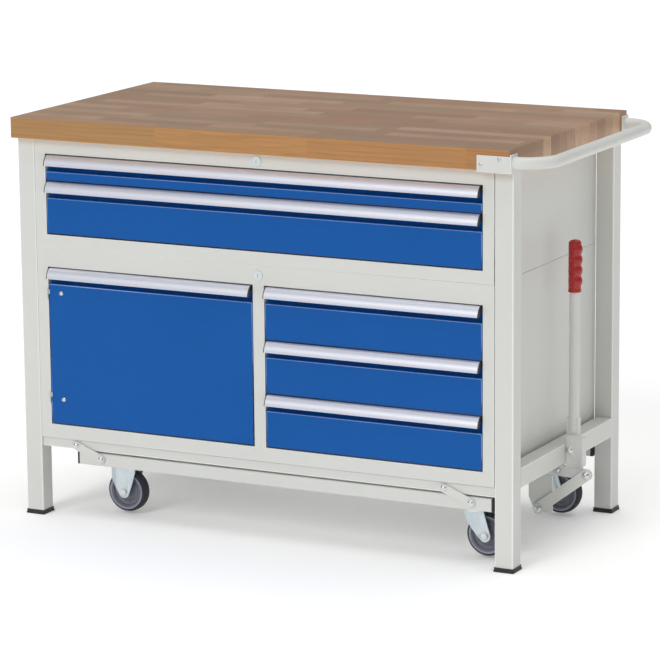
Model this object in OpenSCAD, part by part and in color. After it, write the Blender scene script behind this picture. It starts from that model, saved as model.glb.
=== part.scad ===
// Workbench with drawers on a lift-and-roll carriage.
// X runs along the front, the drawers open towards -Y, Z is up.
// The origin is on the floor, under the middle of the whole outline.

/* [Worktop] */
// Width of the worktop from end to end
top_w = 1250; // [1230:5:1270]
// Depth of the worktop from front to back
top_d = 660; // [655:1:670]
// Thickness of the laminated beech worktop
top_t = 48; // [44:1:50]
// Height of the worktop's upper face above the floor
bench_h = 940; // [920:5:960]
// Chamfer along every edge of the worktop
top_chamfer = 1.5; // [0.5:0.5:3]

/* [Frame] */
// Side of the square leg tube
leg_w = 44; // [42:1:46]
// Wall thickness of the frame tubes
tube_t = 2; // [1.5:0.5:3]
// Setback of the legs from the worktop's ends
leg_inset_x = 3; // [2:1:4]
// Setback of the legs from the worktop's front and rear edges
leg_inset_y = 24; // [22:1:26]
// Height of the base rails' lower edge above the floor
base_z = 165; // [164:1:168]
// Height of the base rails under the lower cabinet
base_rail_h = 24; // [22:1:26]
// Height of the side rails between front and rear legs
side_rail_h = 45; // [42:1:46]

/* [Cabinets] */
// Thickness of the cabinet sheet steel
sheet_t = 1.2; // [1:0.1:1.5]
// Depth of the folded face frames
frame_depth = 20; // [19:1:22]
// Visible width of the outer stiles
stile_w = 29; // [27:1:31]
// Visible width of the post between door and lower drawers
post_w = 32; // [30:1:34]
// Height of the rail above the upper drawers
top_rail_h = 37; // [35:1:39]
// Height of the rail under the upper drawers
mid_rail_h = 31.5; // [30:0.5:33]
// Height of the rail above the door and the lower drawers
lock_rail_h = 47; // [45:1:49]
// Height of the rail under the door and the lower drawers
low_rail_h = 34; // [32:1:36]

/* [Fronts] */
// Gap between a front and whatever is next to it
front_gap = 1.6; // [1.2:0.1:2]
// Depth of a folded front, face to back
front_depth = 18; // [16:1:18]
// Height of the finger recess and the grip above the flat face
recess_h = 38; // [36:1:40]
// Depth of the finger recess
recess_depth = 12; // [10:1:12]
// Height of the aluminium grip strip
grip_h = 24; // [22:1:26]
// How far the grip strip stands out of the front
grip_out = 16; // [14:1:17]

/* [Drawers] */
// Depth of the drawer trays
tray_depth = 510; // [480:10:510]
// Height of a tray behind a front of one unit
tray_h_low = 42; // [38:1:44]
// Height of a tray behind a front of two units
tray_h_high = 98; // [90:1:102]

/* [Push bar] */
// Outside diameter of the push bar tube
bar_d = 27; // [25:1:28]
// Distance from the worktop's end to the middle of the push bar
bar_reach = 75; // [72:1:80]
// Height of the push bar's middle above the floor
bar_z = 911; // [909:1:913]

/* [Lift linkage] */
// Distance between the two pivots of a carriage link
link_len = 71; // [70:1:72]
// Angle of the links below the horizontal, castors lifted
link_angle = 22.2; // [22:0.1:22.4]
// Width of the flat links
link_w = 20; // [18:1:20]
// Diameter of the lever bar
lever_d = 24; // [22:1:24]
// Length of the red hand grip
handle_len = 118; // [110:1:120]

/* [Castors] */
// Diameter of the castor wheels
wheel_d = 100; // [98:1:100]
// Width of the castor wheels
wheel_w = 32; // [30:1:32]
// Offset of the wheel from the swivel axis
trail = 32; // [30:1:34]

/* [Hidden] */

// Colours
steel_grey = [0.84, 0.84, 0.82];
front_blue = [0.10, 0.33, 0.66];
beech = [0.72, 0.54, 0.38];
anodised = [0.80, 0.81, 0.86];
zinc = [0.68, 0.73, 0.75];
cap_black = [0.12, 0.12, 0.12];
grip_red = [0.62, 0.06, 0.06];
tyre_grey = [0.22, 0.23, 0.30];

// Outline
leg_x = top_w / 2 - leg_inset_x;
leg_y = top_d / 2 - leg_inset_y;
bar_x = top_w / 2 + bar_reach;
origin_x = (bar_x + bar_d / 2 - top_w / 2) / 2;
under_top = bench_h - top_t;
corner_r = 3;

// Cabinet levels, from the floor up
leg_gap = 1;
cab_x = leg_x - leg_w - leg_gap;
cab_z = base_z + base_rail_h;
low_front_z = cab_z + low_rail_h;
unit_h = (under_top - cab_z - low_rail_h - lock_rail_h - mid_rail_h - top_rail_h) / 9;
split_z = low_front_z + 6 * unit_h + lock_rail_h;
up_front_z = split_z + mid_rail_h;
upper_lock_z = under_top - top_rail_h / 2;
lower_lock_z = split_z - lock_rail_h / 2;
opening_x = cab_x - stile_w + front_gap;
post_x = post_w / 2 - front_gap;

// Depths, front face of the frame at face_y
face_y = -leg_y;
inner_y = face_y + frame_depth;
back_y = leg_y - leg_w + 2;
back_fold = 15;

// Drawers: middle X, bottom Z, units high
wide_half = opening_x - front_gap;
narrow_half = (opening_x - post_x) / 2 - front_gap;
narrow_x = (opening_x + post_x) / 2;
DRAWERS = [
    [0, wide_half, up_front_z + 2 * unit_h, 1],
    [0, wide_half, up_front_z, 2],
    [narrow_x, narrow_half, low_front_z + 4 * unit_h, 2],
    [narrow_x, narrow_half, low_front_z + 2 * unit_h, 2],
    [narrow_x, narrow_half, low_front_z, 2]];
slide_space = 14;
runner_z = 10;
runner_h = 22;
runner_t = 1.5;
roller_d = 16;
roller_play = 0.3;
shelf_z = low_front_z + 3 * unit_h - 10;

// Door hinge
knuckle_r = 3;
hinge_x = -opening_x - 1;
hinge_y = face_y - knuckle_r - 0.4;
hinge_zs = [low_front_z + 0.17 * 6 * unit_h, low_front_z + 0.83 * 6 * unit_h];
hinge_half = 11;
pin_hinge_r = 1.6;
pin_play = 0.05;

// Lift linkage, as seen from the front
pivot_r = 4;
link_t = 4;
link_face_y = face_y + 6;
link_play = 0.6;
up_left = [-486, base_z + 10];
up_right = [454, base_z + 10];
link_vec = [link_len * cos(link_angle), -link_len * sin(link_angle)];
arm_pivot = [600, base_z];
arm_end = [671.5, base_z - 5.5];
bar_pivot = [555, base_z - 94];
arm_y = -10;
arm_t = 5;
arm_r = 13;
pin_r = 5;
lever_x = 637;
lever_y = -1;
yoke_x0 = leg_x + 0.6;

// Carriage under the cabinets
rail_len_left = -479.5;
rail_len_right = 568;
rail_h = 30;
rail_z = base_z - 34;
rail_depth = 38;
cross_t = 3;
castor_y = 205;
fixed_x = -404;
swivel_x = 488;
cross_w = 100;
plate_t = 4;
wheel_clear = 5;
axle_z = wheel_d / 2 + wheel_clear;
axle_r = 6;
fork_gap = 2.5;
fork_t = 3;
fork_bulge = 4;
open_play = 0.4;
drawbar_play = 3;

// ---------- general shapes ----------

module placed() translate([-origin_x, 0, 0]) children();

module span(lo, hi) translate(lo) cube(hi - lo);

module rounded_rect(w, d, r) {
    translate([-w / 2, -d / 2 + r]) square([w, d - 2 * r]);
    translate([-w / 2 + r, -d / 2]) square([w - 2 * r, d]);
    for (sx = [-1, 1], sy = [-1, 1])
        translate([sx * (w / 2 - r), sy * (d / 2 - r)]) circle(r, $fn = 24);
}

// Hollow rectangular tube along Z
module tube_z(w, d, len, t = tube_t) linear_extrude(len) difference() {
    rounded_rect(w, d, corner_r);
    rounded_rect(w - 2 * t, d - 2 * t, corner_r / 2);
}

module tube_x(d, h, len) rotate([0, 90, 0]) tube_z(h, d, len);

module tube_y(w, h, len) rotate([-90, 0, 0]) tube_z(w, h, len);

// Rectangle with its corners cut by c
module cut_rect(w, d, c) polygon([
    [-w / 2 + c, -d / 2], [w / 2 - c, -d / 2], [w / 2, -d / 2 + c], [w / 2, d / 2 - c],
    [w / 2 - c, d / 2], [-w / 2 + c, d / 2], [-w / 2, d / 2 - c], [-w / 2, -d / 2 + c]]);

// Extrudes a YZ profile along X, from x0 over len
module along_x(x0, len) translate([x0, 0, 0])
    rotate([90, 0, 90]) linear_extrude(len) children();

// Extrudes an XZ drawing towards -Y, its front at y0
module facing_front(y0, len) translate([0, y0 + len, 0])
    rotate([90, 0, 0]) linear_extrude(len) children();

module rod_y(x, z, r, y0, y1, fn = 48) translate([x, y0, z])
    rotate([-90, 0, 0]) cylinder(r = r, h = y1 - y0, $fn = fn);

// Flat strip with round ends between two XZ points
module strip(a, b, r) hull() {
    translate(a) circle(r, $fn = 64);
    translate(b) circle(r, $fn = 64);
}

// Domed bolt head against a plane y0, out towards side * Y
module dome_head(x, z, r, y0, side) translate([x, y0, z]) rotate([-90 * side, 0, 0])
    rotate_extrude($fn = 48) intersection() {
        translate([0, -r * 0.55]) circle(r * 1.14, $fn = 48);
        square([r, r]);
    }

// ---------- worktop and frame ----------

module worktop() color(beech) placed() translate([0, 0, bench_h - top_t / 2])
    intersection() {
        translate([0, 0, -top_t / 2]) linear_extrude(top_t) cut_rect(top_w, top_d, top_chamfer);
        translate([-top_w / 2, 0, 0]) rotate([90, 0, 90])
            linear_extrude(top_w) cut_rect(top_d, top_t, top_chamfer);
        translate([0, top_d / 2, 0]) rotate([90, 0, 0])
            linear_extrude(top_d) cut_rect(top_w, top_t, top_chamfer);
    }

cap_floor = 3;
cap_rim = 10;

module leg(sx, sy) color(steel_grey) placed()
    translate([sx * (leg_x - leg_w / 2), sy * (leg_y - leg_w / 2), cap_floor])
        tube_z(leg_w, leg_w, under_top - cap_floor);

module foot_caps() color(cap_black) placed()
    for (sx = [-1, 1], sy = [-1, 1])
        translate([sx * (leg_x - leg_w / 2), sy * (leg_y - leg_w / 2), 0]) difference() {
            union() {
                linear_extrude(cap_rim) rounded_rect(leg_w + 3, leg_w + 3, corner_r);
                linear_extrude(cap_floor + 1) rounded_rect(leg_w + 5, leg_w + 5, corner_r);
            }
            translate([0, 0, cap_floor]) linear_extrude(cap_rim)
                rounded_rect(leg_w, leg_w, corner_r);
        }

side_rail_w = leg_w - 4;
base_rail_d = 20;

module frame_rails() color(steel_grey) placed() {
    inner = leg_x - leg_w;
    for (sy = [-1, 1])
        translate([-inner, sy * (leg_y - 6 - base_rail_d / 2), base_z + base_rail_h / 2])
            tube_x(base_rail_d, base_rail_h, 2 * inner);
    for (sx = [-1, 1])
        translate([sx * (leg_x - side_rail_w / 2), -leg_y + leg_w, 183 + side_rail_h / 2])
            tube_y(side_rail_w, side_rail_h, 2 * (leg_y - leg_w));
}

// ---------- cabinets ----------

side_end_y = back_y - back_fold;
seam = 0.8;

module upper_cabinet_sides() color(steel_grey) placed()
    for (s = [-1, 1]) span(
        [s > 0 ? cab_x - sheet_t : -cab_x, inner_y, split_z],
        [s > 0 ? cab_x : -cab_x + sheet_t, side_end_y, under_top]);

module lower_cabinet_walls() color(steel_grey) placed() {
    for (s = [-1, 1]) span(
        [s > 0 ? cab_x - sheet_t : -cab_x, inner_y, cab_z],
        [s > 0 ? cab_x : -cab_x + sheet_t, side_end_y, split_z - seam]);
    difference() {
        span([-sheet_t / 2, inner_y, cab_z + sheet_t], [sheet_t / 2, back_y - sheet_t, split_z]);
        span([-sheet_t, inner_y - 1, split_z - lock_rail_h + 3], [sheet_t, inner_y + 16, split_z + 1]);
    }
}

module cabinet_floors() color(steel_grey) placed()
    for (z = [cab_z, split_z]) span(
        [-cab_x + sheet_t, inner_y, z], [cab_x - sheet_t, back_y - sheet_t, z + sheet_t]);

// Folded back panel between two levels
module back_pan(z0, z1) {
    span([-cab_x, back_y - sheet_t, z0], [cab_x, back_y, z1]);
    for (s = [-1, 1]) span(
        [s > 0 ? cab_x - sheet_t : -cab_x, side_end_y + 1, z0],
        [s > 0 ? cab_x : -cab_x + sheet_t, back_y, z1]);
}

module cabinet_backs() color(steel_grey) placed() {
    back_pan(cab_z, split_z - seam);
    back_pan(split_z, under_top);
}

module cupboard_shelf() color(steel_grey) placed() {
    left = -cab_x + sheet_t + 1;
    right = -sheet_t / 2 - 1;
    front = inner_y + 25;
    rear = back_y - 20;
    span([left, front, shelf_z], [right, rear, shelf_z + sheet_t]);
    for (y = [front, rear - sheet_t])
        span([left, y, shelf_z - 18], [right, y + sheet_t, shelf_z + sheet_t]);
    for (x = [left - 1, right - 9], y = [front + 40, rear - 60])
        span([x, y, shelf_z - 12], [x + 10, y + 14, shelf_z - 0.1]);
}

// Face frame: a sheet with openings, folded back along every edge
// openings: list of [x0, z0, x1, z1]
module face_frame(z0, z1, openings, lock_z) difference() {
    union() {
        facing_front(face_y, sheet_t) difference() {
            translate([-cab_x, z0]) square([2 * cab_x, z1 - z0]);
            for (o = openings) translate([o[0], o[1]]) square([o[2] - o[0], o[3] - o[1]]);
        }
        facing_front(face_y, frame_depth) difference() {
            translate([-cab_x, z0]) square([2 * cab_x, z1 - z0]);
            translate([-cab_x + sheet_t, z0 + sheet_t])
                square([2 * (cab_x - sheet_t), z1 - z0 - 2 * sheet_t]);
        }
        for (o = openings) facing_front(face_y, frame_depth) difference() {
            translate([o[0] - sheet_t, o[1] - sheet_t])
                square([o[2] - o[0] + 2 * sheet_t, o[3] - o[1] + 2 * sheet_t]);
            translate([o[0], o[1]]) square([o[2] - o[0], o[3] - o[1]]);
        }
    }
    rod_y(0, lock_z, lock_r, face_y - 1, face_y + sheet_t + 1);
}

module upper_face_frame() color(steel_grey) placed() face_frame(split_z, under_top,
    [[-opening_x, up_front_z - front_gap, opening_x, up_front_z + 3 * unit_h + front_gap]],
    upper_lock_z);

module lower_face_frame() color(steel_grey) placed() face_frame(cab_z, split_z, [
    [-opening_x, low_front_z - front_gap, -post_x, low_front_z + 6 * unit_h + front_gap],
    [post_x, low_front_z - front_gap, opening_x, low_front_z + 6 * unit_h + front_gap]],
    lower_lock_z);

// ---------- locks ----------

lock_r = 10;
barrel_r = 6;
lock_len = 24;

module lock_housing(z) difference() {
    union() {
        rod_y(0, z, lock_r - 0.1, face_y - 1, face_y + lock_len - 2);
        rod_y(0, z, lock_r + 1.5, face_y - 2, face_y);
        rod_y(0, z, lock_r + 4, face_y + sheet_t, face_y + sheet_t + 4);
    }
    rod_y(0, z, barrel_r + pin_play, face_y - 3, face_y + lock_len);
}

module lock_housings() color(zinc) placed() {
    lock_housing(upper_lock_z);
    lock_housing(lower_lock_z);
}

module lock_cylinder(z) color(zinc) placed() {
    difference() {
        rod_y(0, z, barrel_r, face_y - 2.5, face_y + lock_len);
        span([-0.7, face_y - 3, z - 4], [0.7, face_y + 1, z + 4]);
    }
    facing_front(face_y + lock_len, 2) strip([0, z], [11, z], 6);
}

// ---------- push bar ----------

bend_r = bar_reach - 4;
bracket_t = 3;
bar_wall = 2;
bar_y = top_d / 2 - 14;

module ring_2d(r, t) difference() {
    circle(r, $fn = 48);
    circle(r - t, $fn = 48);
}

module push_bar() color(steel_grey) placed() {
    for (s = [-1, 1]) mirror([0, s < 0 ? 0 : 1, 0]) {
        translate([bar_x - bend_r, -bar_y + bend_r, bar_z]) rotate([0, 0, -90])
            rotate_extrude(angle = 90, $fn = 72) translate([bend_r, 0]) ring_2d(bar_d / 2, bar_wall);
        translate([top_w / 2 + bracket_t, -bar_y, bar_z]) rotate([0, 90, 0])
            linear_extrude(bar_x - bend_r - top_w / 2 - bracket_t) ring_2d(bar_d / 2, bar_wall);
    }
    translate([bar_x, -bar_y + bend_r, bar_z]) rotate([-90, 0, 0])
        linear_extrude(2 * (bar_y - bend_r)) ring_2d(bar_d / 2, bar_wall);
}

bracket_z0 = under_top - 3;
bracket_z1 = under_top + 34;

module push_bar_brackets() color(steel_grey) placed()
    for (s = [-1, 1]) mirror([0, s < 0 ? 0 : 1, 0]) {
        x1 = top_w / 2 + bracket_t;
        y0 = -top_d / 2 - bracket_t;
        span([x1 - 81, y0, bracket_z0], [x1, -top_d / 2, bracket_z1]);
        span([top_w / 2, y0, bracket_z0], [x1, y0 + 36, bracket_z1 + 4]);
    }

// Screws of the push bar brackets, upper link bolts and the lever's pivot bolt
module frame_fasteners() color(zinc) placed() {
    for (s = [-1, 1], p = [[600, bracket_z1 - 8], [557, bracket_z0 + 16]])
        dome_head(p[0], p[1], 4.5, s * (top_d / 2 + bracket_t), s);
    for (s = [-1, 1], p = [up_left, up_right]) {
        dome_head(p[0], p[1], 8.5, -s * (link_face_y - link_t - link_play - 0.3), s);
        rod_y(p[0], p[1], pivot_r, min(s * head_plane, -s * link_face_y),
            max(s * head_plane, -s * link_face_y));
    }
    dome_head(arm_pivot[0], arm_pivot[1], 9, arm_y - 0.3, -1);
    rod_y(arm_pivot[0], arm_pivot[1], pin_r, arm_y - 0.4, tab_y);
}

head_plane = -(link_face_y - link_t - link_play - 0.3);
tab_y = arm_y + arm_t + 0.6;
tab_t = 4;

// Tab under the right side rail that carries the lever's pivot
module lever_pivot_bracket() color(steel_grey) placed() {
    facing_front(tab_y, tab_t) {
        translate(arm_pivot) circle(arm_r, $fn = 48);
        translate([arm_pivot[0] - arm_r, arm_pivot[1]]) square([2 * arm_r, 183 - arm_pivot[1]]);
    }
    span([arm_pivot[0] - 18, tab_y, 180], [arm_pivot[0] + 18, tab_y + 30, 183]);
}

// ---------- drawers ----------

// Box between two X values given in any order
module span_x(xa, xb, lo, hi) span([min(xa, xb), lo[0], lo[1]], [max(xa, xb), hi[0], hi[1]]);

// Cabinet member of a runner on the side s of a drawer, wall_x is the wall it hangs on
module runner(d, s, wall_x) {
    outer = d[0] + s * (d[1] - 0.4);
    z0 = d[2] + runner_z;
    z1 = z0 + runner_h;
    y0 = inner_y + 2;
    y1 = y0 + tray_depth + 8;
    span_x(outer, outer - s * runner_t, [y0, z0], [y1, z1]);
    span_x(outer, outer - s * 9, [y0, z0], [y1, z0 + runner_t]);
    span_x(outer, outer - s * 9, [y0 + 10, z1 - runner_t], [y1, z1]);
    for (y = [y0 + 30, y1 - 70]) difference() {
        span_x(outer, wall_x, [y, z0 + 1], [y + 40, z1 - 1]);
        span_x(outer - s, wall_x - s * runner_t, [y + runner_t, z0], [y + 40 - runner_t, z1]);
    }
    translate([outer - s * (9 + runner_t) / 2, y0 + 9, z0 + runner_t + roller_play + roller_d / 2])
        rotate([0, 90, 0]) cylinder(d = roller_d, h = 9 - runner_t, center = true, $fn = 32);
}

module drawer_runners() color(zinc) placed()
    for (d = DRAWERS, s = [-1, 1]) {
        inner_wall = d[0] > 0 && s < 0;
        runner(d, s, inner_wall ? sheet_t / 2 : s * (cab_x - sheet_t));
    }

module tray(d) color(steel_grey) placed() {
    half = d[1] - slide_space;
    z0 = d[2] + 6;
    h = d[3] == 1 ? tray_h_low : tray_h_high;
    y0 = face_y + front_depth;
    translate([d[0], 0, 0]) {
        difference() {
            span([-half, y0, z0], [half, y0 + tray_depth, z0 + h]);
            span([-half + sheet_t, y0 + sheet_t, z0 + sheet_t],
                [half - sheet_t, y0 + tray_depth - sheet_t, z0 + h + 1]);
        }
        for (s = [-1, 1]) mirror([s < 0 ? 1 : 0, 0, 0]) slide_rail(half, d[2] + runner_z, y0);
    }
}

// Drawer member of a runner: a web with a flange on the roller, and its own rear roller
module slide_rail(half, z0, y0) {
    top = z0 + runner_t + 2 * roller_play + roller_d + 0.2;
    y1 = y0 + tray_depth - 6;
    span([half, y0 + 4, z0 + 3], [half + runner_t, y1, top + 1]);
    span([half, y0 + 4, top], [half + 10, y1, top + 1]);
    translate([half + 1, y1 - 9, z0 + runner_t + roller_play + roller_d / 2])
        rotate([0, 90, 0]) cylinder(d = roller_d, h = 9.5, $fn = 32);
}

// Folded front, YZ profile measured from its face and its lower edge
module front_profile(h, t, back) polygon([
    [t, t], [t, h - recess_h - t], [recess_depth + t, h - recess_h - t],
    [recess_depth + t, h - t], [back, h - t], [back, t]]);

module front_pan(x, half, z, h) translate([x, face_y, z]) difference() {
    along_x(-half, 2 * half) front_profile(h, 0, front_depth);
    along_x(-half + sheet_t, 2 * (half - sheet_t)) front_profile(h, sheet_t, front_depth + 1);
}

// Grip strip: a quarter oval that curves forward and down from the top edge
module grip_profile(h, t) {
    turns = [0 : 9 : 90];
    polygon(concat(
        [for (a = turns) [-grip_out * sin(a), h - grip_h + grip_h * cos(a)]],
        [for (a = turns) [-(grip_out - t) * sin(90 - a), h - grip_h + (grip_h - t) * cos(90 - a)]]));
    translate([0, h - t]) square([recess_depth, t]);
}

grip_t = 2;
grip_cap = 2.5;

module grip(x, half, z, h) translate([x, face_y, z]) {
    along_x(-half + 2, 2 * half - 4) grip_profile(h, grip_t);
    for (x0 = [-half + 2, half - 2 - grip_cap])
        along_x(x0, grip_cap) intersection() {
            translate([-grip_out, h - grip_h]) square([grip_out + recess_depth, grip_h]);
            union() {
                grip_profile(h, grip_h - 1);
                translate([0, h - 12]) square([recess_depth, 12]);
            }
        }
}

module drawer_tray(i) tray(DRAWERS[i - 1]);

module drawer_front(i) color(front_blue) placed() {
    d = DRAWERS[i - 1];
    front_pan(d[0], d[1], d[2] + front_gap / 2, d[3] * unit_h - front_gap);
}

module drawer_grip(i) color(anodised) placed() {
    d = DRAWERS[i - 1];
    grip(d[0], d[1], d[2] + front_gap / 2, d[3] * unit_h - front_gap);
}

// ---------- door ----------

module door_panel() color(front_blue) placed() {
    front_pan(-narrow_x, narrow_half, low_front_z + front_gap / 2, 6 * unit_h - front_gap);
    for (z = hinge_zs) difference() {
        union() {
            translate([hinge_x, hinge_y, z + 0.3]) cylinder(r = knuckle_r, h = hinge_half, $fn = 32);
            span([hinge_x + 1.2, face_y - 2, z + 0.3],
                [hinge_x + 5.6, face_y, z + 0.3 + hinge_half]);
        }
        translate([hinge_x, hinge_y, z - 1])
            cylinder(r = pin_hinge_r + pin_play, h = hinge_half + 3, $fn = 32);
    }
}

module door_grip() color(anodised) placed()
    grip(-narrow_x, narrow_half, low_front_z + front_gap / 2, 6 * unit_h - front_gap);

// Frame side of the hinges: lower knuckle, leaf and pin
module door_hinge_pins() color(zinc) placed()
    for (z = hinge_zs) {
        translate([hinge_x, hinge_y, z - hinge_half]) cylinder(r = knuckle_r, h = hinge_half, $fn = 32);
        translate([hinge_x, hinge_y, z - hinge_half])
            cylinder(r = pin_hinge_r, h = 2 * hinge_half + 0.3, $fn = 32);
        span([hinge_x - 5.6, face_y - 2, z - hinge_half], [hinge_x - 1.2, face_y, z]);
    }

// ---------- lever ----------

socket_z1 = 288;
handle_z = 576;
grip_bore = 101;

module lever_bar() color(steel_grey) placed() {
    translate([lever_x, lever_y, socket_z1 - 30])
        cylinder(d = lever_d, h = handle_z + grip_bore - 2 - socket_z1 + 30, $fn = 48);
    span([yoke_x0, arm_y, 200], [yoke_x0 + 27, lever_y + 9, socket_z1]);
}

// Hand grip with four finger swells on its outer side
module lever_handle() color(grip_red) placed() translate([lever_x, lever_y, handle_z])
    difference() {
        union() {
            cylinder(d = 30.5, h = handle_len - 6, $fn = 48);
            translate([0, 0, handle_len - 6]) cylinder(d = 27, h = 6, $fn = 48);
            for (k = [0 : 3]) translate([2.5, 0, 24 + 24 * k]) sphere(d = 31, $fn = 48);
        }
        translate([0, 0, -1]) cylinder(d = lever_d, h = grip_bore + 1, $fn = 48);
    }

yoke_w = 41;
yoke_z1 = 250;
yoke_t = 4;

// Folded plate on the lever with the arm that pushes the carriage
module lever_yoke() color(steel_grey) placed() difference() {
    union() {
        facing_front(arm_y, arm_t) strip(arm_pivot, arm_end, arm_r);
        facing_front(arm_y - yoke_t, yoke_t) translate([yoke_x0 + yoke_w / 2, (172 + yoke_z1) / 2])
            rounded_rect(yoke_w, yoke_z1 - 172, 6);
        span([yoke_x0 + yoke_w - 3, arm_y - 2, 178], [yoke_x0 + yoke_w, arm_y + 17, yoke_z1 - 6]);
        rod_y(arm_end[0], arm_end[1], pin_r, arm_y - 6.2, arm_y);
        dome_head(arm_end[0], arm_end[1], 9, arm_y - 6, -1);
        dome_head(631, 214, 8, arm_y - yoke_t, -1);
    }
    rod_y(arm_pivot[0], arm_pivot[1], pin_r + pin_play, arm_y - 5, arm_y + arm_t + 1);
}

// Pushes the carriage: a true pivot on the lever, a loose one on the bracket
module drawbar() color(steel_grey) placed() difference() {
    facing_front(arm_y - 5.5, 5) strip(bar_pivot, arm_end, arm_r);
    rod_y(arm_end[0], arm_end[1], pin_r + pin_play, arm_y - 7, arm_y + 1);
    rod_y(bar_pivot[0], bar_pivot[1], pivot_r + drawbar_play, arm_y - 7, arm_y + 1);
}

// ---------- links and carriage ----------

// Link at the upper pivot p on the front (s = -1) or rear (s = 1); loose opens its lower hole
module link(p, s, loose) color(steel_grey) placed() mirror([0, s < 0 ? 0 : 1, 0]) difference() {
    facing_front(link_face_y - link_play - link_t, link_t) strip(p, p + link_vec, link_w / 2);
    rod_y(p[0], p[1], pivot_r + pin_play, link_face_y - 6, link_face_y + 1);
    rod_y(p[0] + link_vec[0], p[1] + link_vec[1], pivot_r + (loose ? open_play : pin_play),
        link_face_y - 6, link_face_y + 1);
}

rail_mid_y = -link_face_y - rail_depth / 2;

module carriage_rails() color(steel_grey) placed()
    for (s = [-1, 1]) translate([rail_len_left, s * rail_mid_y, rail_z + rail_h / 2])
        tube_x(rail_depth, rail_h, rail_len_right - rail_len_left);

end_cap_t = 5;
plug_len = 15;
plug_gap = 0.1;

// Plastic plugs in the ends of the carriage rails
module rail_end_caps() color(cap_black) placed() {
    inset = 2 * (tube_t + plug_gap);
    for (s = [-1, 1], right = [0, 1])
        translate([right ? rail_len_right : rail_len_left, s * rail_mid_y, rail_z + rail_h / 2])
            mirror([right ? 0 : 1, 0, 0]) rotate([0, 90, 0]) {
                linear_extrude(end_cap_t) rounded_rect(rail_h, rail_depth, corner_r);
                translate([0, 0, -plug_len]) linear_extrude(plug_len + 1)
                    rounded_rect(rail_h - inset, rail_depth - inset, corner_r / 2);
            }
}

bracket_y = arm_y + 0.5;

// Channels between the rails, with the plate that the drawbar pushes
module carriage_cross_members() color(steel_grey) placed() {
    edge = swivel_x + cross_w / 2;
    facing_front(bracket_y, 4) polygon([
        [edge - 8, rail_z], [edge - 8, 96], [bar_pivot[0] - 9, 62], [588, 62], [588, 150],
        [edge, 150], [edge, rail_z]]);
    for (x = [fixed_x, swivel_x]) {
        half = -link_face_y - rail_depth;
        span([x - cross_w / 2, -half, rail_z], [x + cross_w / 2, half, rail_z + cross_t]);
        for (x0 = [x - cross_w / 2, x + cross_w / 2 - cross_t])
            span([x0, -half, rail_z], [x0 + cross_t, half, rail_z + rail_h]);
    }
}

module carriage_pivot_bolts() color(zinc) placed() {
    for (s = [-1, 1], p = [up_left + link_vec, up_right + link_vec]) {
        dome_head(p[0], p[1], 8.5, s * head_plane, s);
        rod_y(p[0], p[1], pivot_r, min(s * head_plane, -s * link_face_y),
            max(s * head_plane, -s * link_face_y));
    }
    dome_head(bar_pivot[0], bar_pivot[1], 11, arm_y - 6, -1);
    rod_y(bar_pivot[0], bar_pivot[1], pivot_r, arm_y - 6.2, bracket_y);
}

fork_y = wheel_w / 2 + fork_gap;

fork_out = fork_y + fork_bulge + fork_t;
fork_end_r = 14;
head_t = 5;

// Bend of a fork plate seen from above: X from the axle, distance from the wheel gap
fork_path = [[-trail - 30, -8], [-20, fork_bulge], [13, fork_bulge], [20, 0], [30, 0]];

// Two pressed fork plates and the axle; corners are XZ points of a plate seen from the axle
module fork(axle_x, corners) translate([axle_x, 0, axle_z]) {
    for (s = [-1, 1]) mirror([0, s < 0 ? 0 : 1, 0]) {
        intersection() {
            facing_front(-fork_out - 1, fork_out) hull() {
                circle(fork_end_r, $fn = 48);
                polygon(corners);
            }
            translate([0, 0, -fork_end_r - 1]) linear_extrude(rail_z) polygon(concat(
                [for (p = fork_path) [p[0], -fork_y - p[1]]],
                [for (i = [len(fork_path) - 1:-1:0]) [fork_path[i][0], -fork_y - fork_path[i][1] - fork_t]]));
        }
        rod_y(0, 0, 9, -fork_out - head_t, -fork_out, 6);
    }
    rod_y(0, 0, axle_r, -fork_out - 1, fork_out + 1);
}

module top_plate(x) span([x - 49, -40, rail_z - plate_t], [x + 49, 40, rail_z]);

fixed_fork_h = rail_z - plate_t + 1 - axle_z;

module fixed_castor_forks() color(zinc) placed()
    for (s = [-1, 1]) translate([0, s * castor_y, 0]) {
        top_plate(fixed_x);
        fork(fixed_x, [
            [-34, fixed_fork_h], [-34, 29], [28, 47], [28, fixed_fork_h]]);
    }

crown_top = 119;
crown_bottom = 109;
swivel_fork_h = crown_bottom + 6 - axle_z;

module swivel_castor_plates() color(zinc) placed()
    for (s = [-1, 1]) translate([swivel_x, s * castor_y, 0]) {
        translate([-swivel_x, 0, 0]) top_plate(swivel_x);
        translate([0, 0, crown_top + 0.4])
            cylinder(r = 27, h = rail_z - plate_t - crown_top - 0.4, $fn = 48);
        translate([0, 0, crown_bottom]) cylinder(r = axle_r, h = 20, $fn = 32);
    }

module swivel_fork(s) color(zinc) placed() translate([0, s * castor_y, 0]) {
    difference() {
        translate([swivel_x, 0, crown_bottom]) cylinder(r = 31, h = crown_top - crown_bottom, $fn = 48);
        translate([swivel_x, 0, crown_bottom - 1]) cylinder(r = axle_r + pin_play, h = 20, $fn = 32);
    }
    fork(swivel_x + trail, [
        [-trail - 30, swivel_fork_h], [-42, 22], [28 - trail, swivel_fork_h]]);
}

tyre_h = 12;
hub_end = wheel_w / 2 + fork_bulge;

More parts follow.
